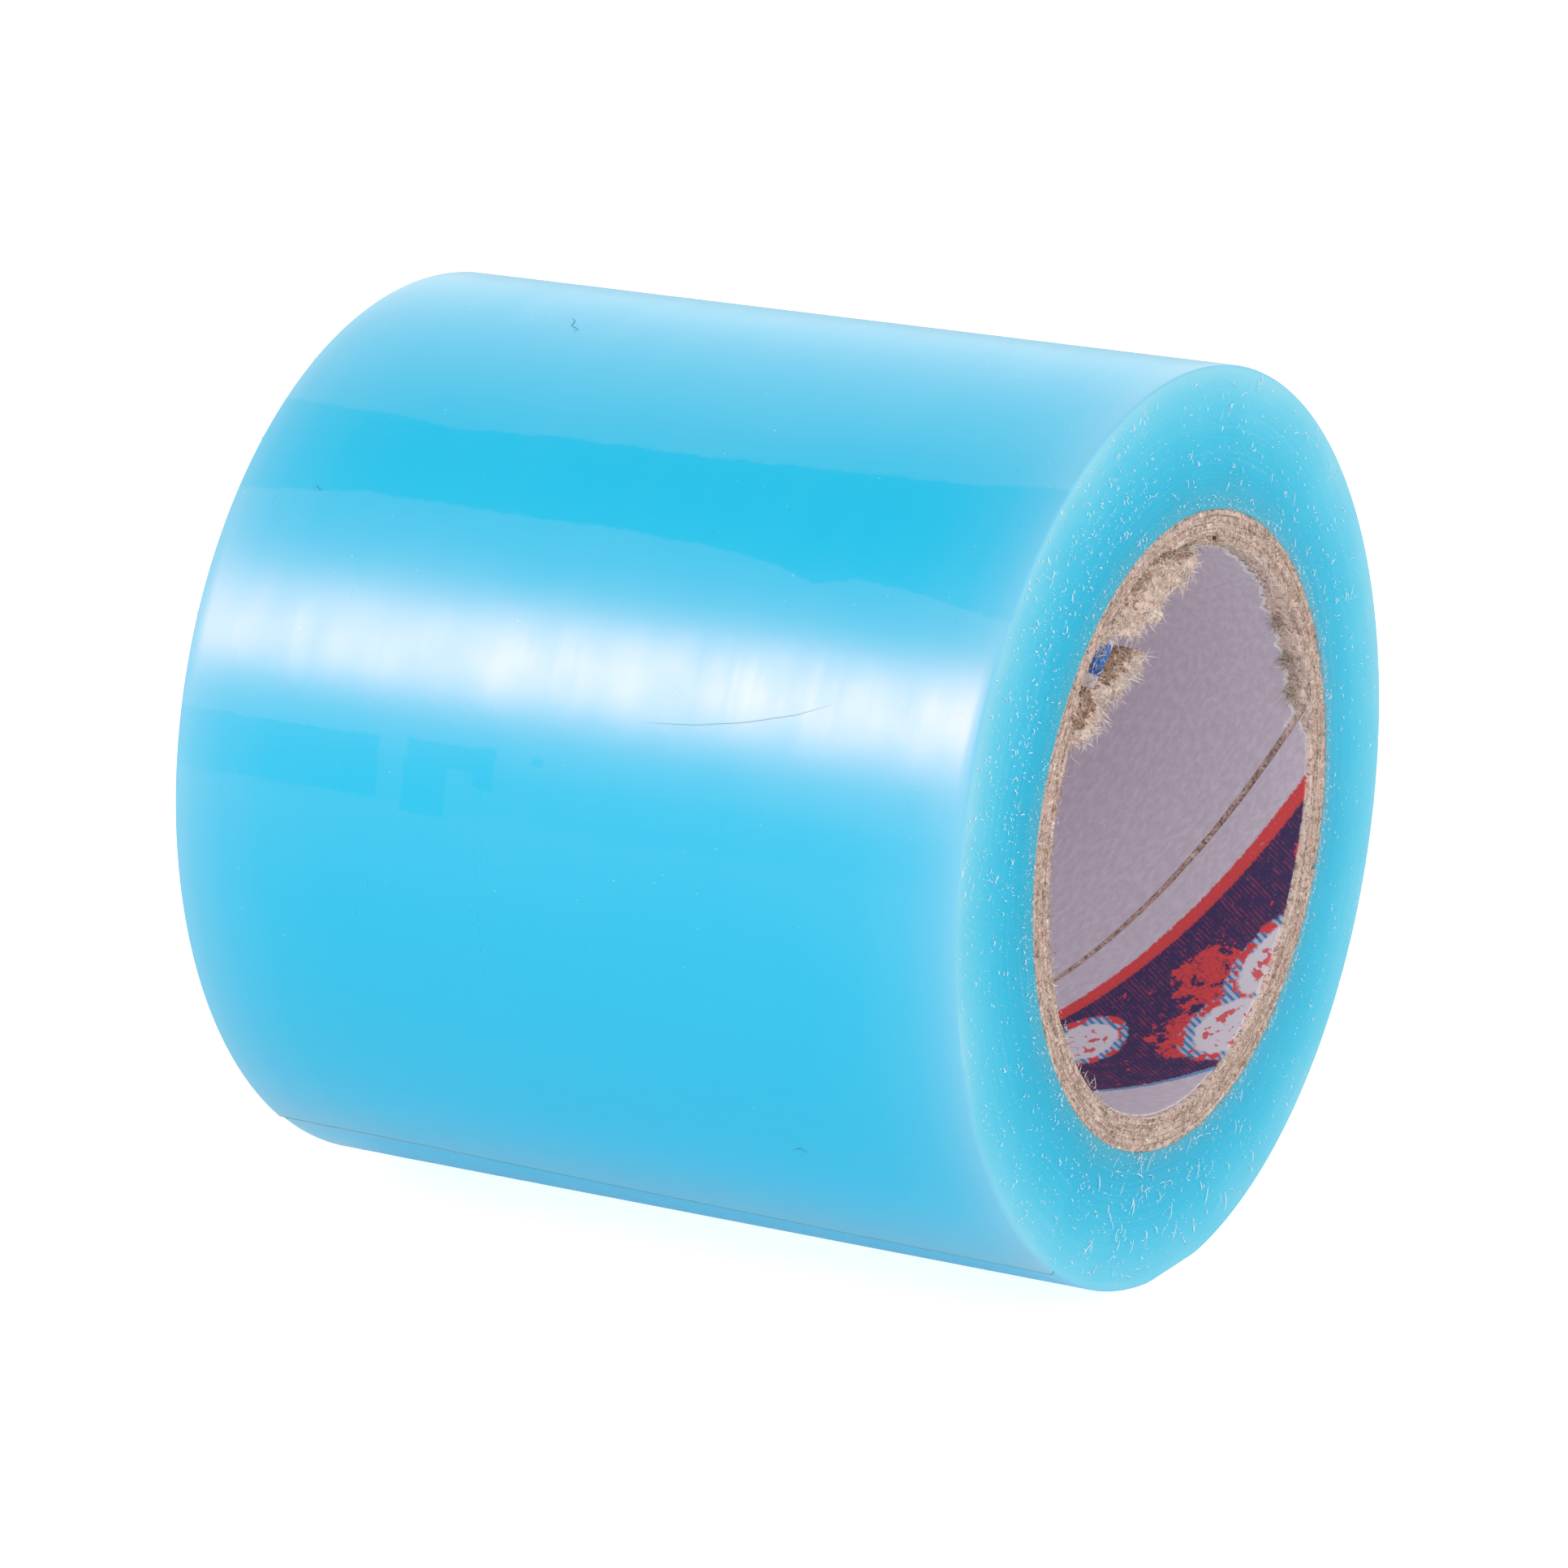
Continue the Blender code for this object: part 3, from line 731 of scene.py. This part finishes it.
def wound_strip(name, inner, thickness, seam_start, gap, looks, bites=(), fray=0.05, mouth_slot=1,
                rough_reach=0.0, shy=0.0, lip_reach=0.35):
    """Helical strip, frayed where the mouths trim it and torn back by bites at the +X mouth.

    rough_reach is how far its bore side is torn up behind that mouth.
    """
    advance = SEAM_PITCH / 360
    half = gap / 2
    first = seam_start - (2 * MOUTH - half) / advance + 0.6
    last = seam_start + 360 - half / advance - 0.6
    columns = []
    for turn in spread(first, last, round((last - first) / 0.75)):
        low, high = strip_reach(seam_start, half, turn)
        torn = tear_depth(turn, bites)
        low = max(-MOUTH + shy + fray * (0.5 + 0.5 * ripple(turn * 1.7, inner)), low)
        step = shy + 0.09 * (1 + ripple(turn * 0.03, inner * 7))
        mouth = MOUTH - fray * (0.5 + 0.5 * ripple(turn * 1.9, inner, 4.0)) - step - torn
        high = max(min(mouth, high), low + 0.1)
        lip = min(lip_reach if torn > 0.1 else 0.06, (high - low) / 4)
        sway = 0.014 * ripple(turn * 0.15, inner * 3)
        low_side, high_side = inner + sway, inner + thickness + sway
        thin = 0.3 if torn > 0.1 else 0.95
        edge = 1 if torn > 0.1 else mouth_slot
        rough = []
        for share in spread(0, 1, 6):
            x = high - lip - min(rough_reach, (high - low) / 2) * (1 - share)
            lift = 0.09 * abs(ripple(turn * 1.3, x * 5, inner)) * min(1, 5 * share) if rough_reach else 0
            rough.append((x, low_side - lift, 2 if torn > 0.1 or rough_reach else 0))
        ring = [(low, low_side + 0.02, mouth_slot), (low + 0.03, low_side, 0), *rough,
                (high, low_side + thickness * (1 - thin), edge), (high, high_side - 0.02, edge),
                (high - 0.03, high_side, 0), (low + 0.03, high_side, 0), (low, high_side - 0.02, mouth_slot)]
        columns.append((turn, ring))
    return sweep(name, columns, looks)


def between_stops(stops, turn):
    """Straight-line values of a list of (turn, value, value ...) stops at a turn."""
    for before, after in zip(stops, stops[1:]):
        if turn <= after[0]:
            break
    share = (turn - before[0]) / (after[0] - before[0])
    return [a + (b - a) * share for a, b in zip(before[1:], after[1:])]


def rough_at(along, across, seed, sizes):
    """Sum of ripples: sizes is a list of (waves per millimetre, height)."""
    return sum(height * ripple(along * waves, across * waves, seed + waves) for waves, height in sizes)


def shred(name, outline, looks, seed, foot_depth, tip_depth, shaded_share):
    """Torn shred of board, and the points of its outer face.

    outline is a list of (turn, foot radius, tip radius). The depths say how far inside the mouth the
    foot and the tip lie. The last argument is the share of its height, from the foot, that takes the second
    look, a darker brown that paints the shade where the shred meets the ring.
    """
    levels = 18
    columns, faces_out = [], []
    for turn in spread(outline[0][0], outline[-1][0], round((outline[-1][0] - outline[0][0]) / 0.45)):
        foot, tip = between_stops(outline, turn)
        along = math.radians(turn) * foot
        fade = min(1.0, (turn - outline[0][0]) / 4 + 0.05, (outline[-1][0] - turn) / 4 + 0.05)
        tip += rough_at(along, 0, seed, ((0.5, 0.45), (1.3, 0.45), (3.5, 0.30)))
        front, back = [], []
        for level in spread(0, 1, levels):
            across = (foot - tip) * level
            lump = rough_at(along, across, seed, ((0.6, 0.40), (1.4, 0.34), (3.2, 0.18), (7.0, 0.06)))
            middle = MOUTH - foot_depth + (foot_depth - tip_depth) * level ** 0.55
            thick = (0.05 + 0.22 * math.sin(math.pi * min(1.0, 0.15 + 0.8 * level))) * fade
            radius = foot - across
            # The share near the foot takes the second look: painted shade where the shred meets the ring.
            slot = int(level + rough_at(along, across, seed + 9, ((0.7, 0.22), (2.2, 0.22))) < shaded_share)
            front.append((min(middle + lump * fade + thick, MOUTH + 0.3), radius, slot))
            back.append((min(middle + lump * fade, MOUTH + 0.3) - thick, radius, 0))
        columns.append((turn, front + back[::-1]))
        faces_out += [(x, radius, turn) for x, radius, slot in front[2:] if slot == 0]
    return sweep(name, columns, looks), faces_out


def paper_scrap(looks):
    """Flake of the printed liner left standing between the two torn shreds."""
    columns = []
    first, last = SCRAP_TURNS
    for turn in spread(first, last, 40):
        share = (turn - first) / (last - first)
        low = 14.3 + 1.0 * share + 0.12 * ripple(turn * 0.9, 1.0)
        high = 15.0 + 0.75 * math.sin(math.pi * min(1.0, share + 0.25)) + 0.10 * ripple(turn * 1.1, 5.0)
        front, back = [], []
        for level in spread(0, 1, 8):
            radius = low + (max(high, low + 0.15) - low) * level
            x = MOUTH - 1.15 + 0.35 * share + 0.35 * math.sin(3.0 * level + 1.5 * share) \
                + 0.06 * ripple(turn * 0.5, level * 3)
            front.append((x + 0.04, radius, 0))
            back.append((x - 0.04, radius, 0))
        columns.append((turn, front + back[::-1]))
    return sweep("paper_scrap", columns, looks)


def scatter_fibres(name, look, seed, count, root, drift, length):
    """Many loose fibres. root() gives (x, radius, turn) and drift their mean heading in the same terms."""
    chance = random.Random(seed)
    soup = Soup()
    for _ in range(count):
        x, out, turn = root(chance)
        heading = [d + chance.uniform(-s, s) for d, s in drift]
        reach = length * chance.uniform(0.35, 1.0)
        bend = [chance.uniform(-0.8, 0.8) for _ in range(3)]
        path = []
        for share in spread(0, 1, 4):
            step = [reach * share * (h + b * share) for h, b in zip(heading, bend)]
            path.append(place(x + step[0], out + step[1], turn + math.degrees(step[2] / out)))
        soup.tube(path, FIBRE * chance.uniform(0.6, 1.3), chance.random(), sides=3)
    return soup.build(name, look)


def on_ring(end):
    def root(chance):
        out = chance.uniform(BORE_RADIUS + 0.02, PACK_BORE - 0.02)
        return end * (MOUTH - 0.06), out, chance.uniform(-180, 180)
    return root


# ---------------------------------------------------------------- dust
def curl(soup, chance, end, out, turn, size, thick):
    """Short curled shaving lying on an end face."""
    any_way = chance.random() < 0.35
    heading = chance.uniform(0, 2 * math.pi) if any_way else chance.gauss(math.pi / 2, 0.5)
    bend = chance.uniform(-2.5, 2.5)
    y0, z0 = -out * math.sin(math.radians(turn)), out * math.cos(math.radians(turn))
    path = []
    for share in spread(0, 1, 5):
        angle = heading + bend * share
        x = end * (end_face(math.hypot(y0, z0)) + 0.02 + 0.05 * math.sin(3.1 * share))
        path.append((x * MM, y0 * MM, (AXIS_HEIGHT + z0) * MM))
        y0 += size / 5 * math.cos(angle)
        z0 += size / 5 * math.sin(angle)
    soup.tube(path, thick, chance.random(), sides=4)


# Dust on an end face: count, first turn, last turn, inner radius, outer radius, length of the shavings
DUST_ZONES = ((1500, 0, 360, 18.6, 25.9, 0.13), (700, 10, 85, 20.0, 26.0, 0.2),
              (230, 150, 205, 19.0, 25.6, 0.5), (150, -70, 0, 19.0, 25.6, 0.36),
              (800, 0, 360, 18.3, 19.0, 0.12), (200, 80, 150, 19.0, 25.6, 0.15))


def end_dust(name, end, seed, look):
    chance = random.Random(seed)
    soup = Soup()
    for count, first, last, low, high, size in DUST_ZONES:
        for _ in range(count):
            turn, out = chance.uniform(first, last), chance.uniform(low, high)
            if chance.random() < 0.4:
                length = size * chance.uniform(0.5, 2.4)
                curl(soup, chance, end, out, turn, length, chance.uniform(0.014, 0.034))
            else:
                soup.grain(place(end * (end_face(out) + 0.01), out, turn), chance.uniform(0.012, 0.05),
                           chance.random(), chance)
    return soup.build(name, look)


def side_dust(name, look):
    chance = random.Random(5)
    soup = Soup()
    for _ in range(110):
        x, turn = chance.uniform(-24, 24), chance.uniform(-180, 100)
        soup.grain(place(x, film_radius(turn), turn), chance.uniform(0.02, 0.045), chance.random(), chance)
    return soup.build(name, look)


def strand(soup, points, radius, tone):
    """Hair on the roll's side through (x, turn) points."""
    path = []
    for (x0, t0), (x1, t1) in zip(points, points[1:]):
        for share in spread(0, 1, 3)[:-1]:
            x, turn = x0 + (x1 - x0) * share, t0 + (t1 - t0) * share
            path.append(place(x, skin_radius(x, turn) + 0.02, turn))
    soup.tube(path, radius, tone)


# ---------------------------------------------------------------- the roll
def build_film():
    looks = [film_side_look(), film_end_look()]
    roll, side = film_roll(looks)
    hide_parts("tape_pack")
    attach(roll, "roll")
    film_tail(side, [looks[0], film_cut_look()])


def build_core():
    kraft = kraft_look("kraft_board", KRAFT, KRAFT_DARK, KRAFT_LIGHT, 0.05)
    kraft_end = kraft_look("kraft_end", KRAFT, KRAFT_DARK, KRAFT_LIGHT, 0.06, rings=True)
    torn = kraft_look("torn_kraft", TORN, (0.36, 0.21, 0.15), (0.99, 0.92, 0.87), 0.10)
    # Shaded copy of the torn board for the foot of each shred: painted shade where the shred meets the ring.
    shade = kraft_look("torn_foot_shade", (0.40, 0.25, 0.18), (0.10, 0.055, 0.035), (0.80, 0.62, 0.51), 0.10)
    white = kraft_look("torn_paper", (0.80, 0.77, 0.80), (0.60, 0.54, 0.52), (0.92, 0.91, 0.94), 0.05)
    liner = wound_strip("liner", BORE_RADIUS, LINER_PAPER, SEAM_START, LINER_GAP,
                        [liner_look(), white, white], LINER_TEARS, fray=0.16, mouth_slot=0, shy=0.34,
                        lip_reach=0.22)
    pieces = [(liner, "core_liner", "liner_paper")]
    inner = BORE_RADIUS + LINER_PAPER + GLUE
    for ply in range(1, PLIES + 1):
        strip = wound_strip(f"kraft_ply_{ply}", inner, PLY, SEAM_START + ply * SEAM_STAGGER, PLY_GAP,
                            [kraft, kraft_end, torn], PLY_TEARS.get(ply, ()), fray=0.14,
                            rough_reach=1.6 if ply == 1 else 0.0)
        pieces.append((strip, f"core_ply_{ply}", "kraft_board"))
        inner += PLY_PITCH
    upper, upper_points = shred("flap_upper", UPPER_SHRED, [torn, shade], 2.0, 2.0, 0.4, 0.30)
    lower, lower_points = shred("flap_lower", LOWER_SHRED, [torn, shade], 6.0, 1.9, 0.25, 0.48)
    pieces += [(upper, "torn_flap_upper", "torn_kraft"), (lower, "torn_flap_lower", "torn_kraft")]
    for piece, node, slot in pieces:
        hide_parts(node)
        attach(piece, "roll")
    scrap = paper_scrap([liner_scrap_look()])
    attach(scrap, "roll")
    return upper_points, lower_points


def build_fibres(upper_points, lower_points):
    tan = fibre_look("loose_fibre", (0.26, 0.165, 0.11), (0.90, 0.80, 0.70))
    pale = fibre_look("torn_fibre", (0.50, 0.33, 0.24), (1.0, 0.95, 0.92))

    def rooted(points):
        def root(chance):
            return chance.choice(points)
        return root

    def ply_edge(first, last):
        """Torn-up bore side of the innermost ply, where the liner has come away."""
        def root(chance):
            return MOUTH - chance.uniform(0.1, 1.3), BORE_RADIUS + LINER_PAPER, chance.uniform(first, last)
        return root

    def wisps(chance):
        turn = chance.choice((-57, -67, -75)) + chance.gauss(0, 1.2)
        return MOUTH - chance.uniform(0.7, 1.5), BORE_RADIUS + 0.05, turn

    ring = ((0.06, 0.08), (-0.1, 0.55), (0.0, 1.0))
    back = ((-0.06, 0.08), (-0.1, 0.55), (0.0, 1.0))
    fluff = ((0.06, 0.22), (-0.45, 0.7), (0.0, 0.9))
    fuzz = ((0.2, 0.8), (-0.12, 0.12), (0.0, 0.9))
    loose = ((0.0, 0.8), (-0.35, 0.3), (0.0, 0.9))
    kinds = (("near_mouth", tan, 11, 3600, on_ring(1), ring, 0.6),
             ("far_mouth", tan, 12, 1800, on_ring(-1), back, 0.6),
             ("upper_flap", pale, 13, 1300, rooted(upper_points), fluff, 0.75),
             ("lower_flap", pale, 14, 1000, rooted(lower_points), fluff, 0.75),
             ("ply_edge", pale, 15, 900, ply_edge(-84, 2), fuzz, 0.6),
             ("wisps", tan, 16, 260, wisps, loose, 0.7))
    for name, look, seed, count, root, drift, length in kinds:
        piece = scatter_fibres(f"fibres_{name}", look, seed, count, root, drift, length)
        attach(piece, "roll")


def build_dust():
    dust = fibre_look("dust", (0.70, 0.88, 0.95), (1.0, 1.0, 1.0))
    hair = fibre_look("hair", (0.05, 0.07, 0.09), (0.20, 0.22, 0.24))
    made = [end_dust("dust_near_end", 1, 21, dust), end_dust("dust_far_end", -1, 22, dust),
            side_dust("dust_side", dust)]
    soup = Soup()
    for radius, tone, points in (
            (0.012, 0.3, ((-12.4, 8.0), (-11.9, 9.0), (-11.7, 10.6), (-11.0, 11.4), (-11.3, 12.4))),
            (0.012, 0.2, ((-20.1, 45.4), (-19.7, 46.1), (-19.4, 45.9))),
            (0.012, 0.4, ((12.6, 123.4), (13.2, 122.8), (13.9, 123.6))),
            (0.008, 0.9, ((5.0, 69.0), (8.0, 68.4), (11.0, 67.2), (14.0, 65.4), (17.0, 62.6)))):
        strand(soup, points, radius, tone)
    made.append(soup.build("hairs_side", hair))
    for piece in made:
        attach(piece, "roll")


# ---------------------------------------------------------------- studio
HEADING, PITCH = 29.88, 16.02                  # the camera's, in degrees
CAMERA_PLACE = (0.19853, -0.34645, 0.11379)    # from the middle of the roll, in metres
LENS, SENSOR = 165.2, 36.0                     # in millimetres
FLOOR_SIZE = 6.0
SEEN_LIFT = 0.00002                            # metres from the floor that bounces light to the one in view
SKY = ((0.0, 0.92), (0.5, 0.92), (0.7, 0.65), (0.85, 0.32), (0.94, 0.18), (1.0, 0.16))

# Heading and pitch in degrees; distance, width and height in metres; watts
LAMPS = (("softbox", -32.6, 30.4, 0.9, 0.10, 0.30, 6.2, {"diffuse": False, "tint": (1.0, 0.46, 0.28)}),
         ("fill", 78, 35, 1.5, 1.0, 1.0, 4.8, {"glossy": False}),
         ("backdrop", 214.7, 33, 1.5, 2.2, 1.5, 8.3, {"diffuse": False}),
         ("key", -12, 45, 1.5, 1.0, 1.0, 5.0, {"glossy": False}))


def aim(thing, heading, pitch):
    """Turn a camera or lamp to look along a heading, downwards by pitch degrees."""
    right, down = math.radians(heading), math.radians(pitch)
    ahead = Vector((-math.sin(right) * math.cos(down), math.cos(right) * math.cos(down), -math.sin(down)))
    thing.rotation_mode = "QUATERNION"
    thing.rotation_quaternion = ahead.to_track_quat("-Z", "Y")
    return ahead


def add_lamp(name, heading, pitch, away, width, height, watts, diffuse=True, glossy=True,
             tint=(1.0, 1.0, 1.0)):
    lamp = bpy.data.lights.new(name, "AREA")
    lamp.color = tint
    lamp.shape = "RECTANGLE"
    lamp.size, lamp.size_y = width, height
    lamp.energy = watts
    holder = bpy.data.objects.new(name, lamp)
    bpy.context.scene.collection.objects.link(holder)
    ahead = aim(holder, heading, pitch)
    holder.location = Vector((0, 0, AXIS_HEIGHT * MM)) - ahead * away
    holder.visible_diffuse = diffuse
    holder.visible_glossy = glossy
    holder.visible_camera = False


def build_world():
    world = bpy.data.worlds.new("studio")
    bpy.context.scene.world = world
    world.use_nodes = True
    tree = world.node_tree
    background = tree.nodes["Background"]
    background.inputs["Color"].default_value = (1.0, 1.0, 1.0, 1.0)
    split = tree.nodes.new("ShaderNodeSeparateXYZ")
    tree.links.new(tree.nodes.new("ShaderNodeTexCoord").outputs["Generated"], split.inputs[0])
    ramp = tree.nodes.new("ShaderNodeValToRGB")
    tree.links.new(split.outputs["Z"], ramp.inputs[0])
    while len(ramp.color_ramp.elements) < len(SKY):
        ramp.color_ramp.elements.new(0.5)
    for element, (at, level) in zip(ramp.color_ramp.elements, SKY):
        element.position = at
        element.color = (level, level, level, 1.0)
    tree.links.new(ramp.outputs[0], background.inputs["Strength"])


def build_studio():
    half = FLOOR_SIZE / 2
    for name, height, glow, seen in (("floor", 0.0, 0.30, False), ("floor_seen", SEEN_LIFT, 0.85, True)):
        corners = [(-half, -half, height), (half, -half, height), (half, half, height), (-half, half, height)]
        floor = make_object(name, corners, [(0, 1, 2, 3)], [floor_look(name, glow)])
        floor.visible_camera = seen
        floor.visible_diffuse = floor.visible_glossy = floor.visible_shadow = not seen
        floor.visible_transmission = not seen
    build_world()
    for *numbers, options in LAMPS:
        add_lamp(*numbers, **options)
    view = bpy.data.cameras.new("photo_view")
    view.lens, view.sensor_width = LENS, SENSOR
    view.clip_start, view.clip_end = 0.01, 20.0
    camera = bpy.data.objects.new("photo_view", view)
    bpy.context.scene.collection.objects.link(camera)
    aim(camera, HEADING, PITCH)
    camera.location = Vector(CAMERA_PLACE) + Vector((0, 0, AXIS_HEIGHT * MM))
    scene = bpy.context.scene
    scene.camera = camera
    scene.view_settings.view_transform = "Standard"
    scene.view_settings.look = "None"


build_film()
flap_points = build_core()
build_fibres(*flap_points)
build_dust()
build_studio()
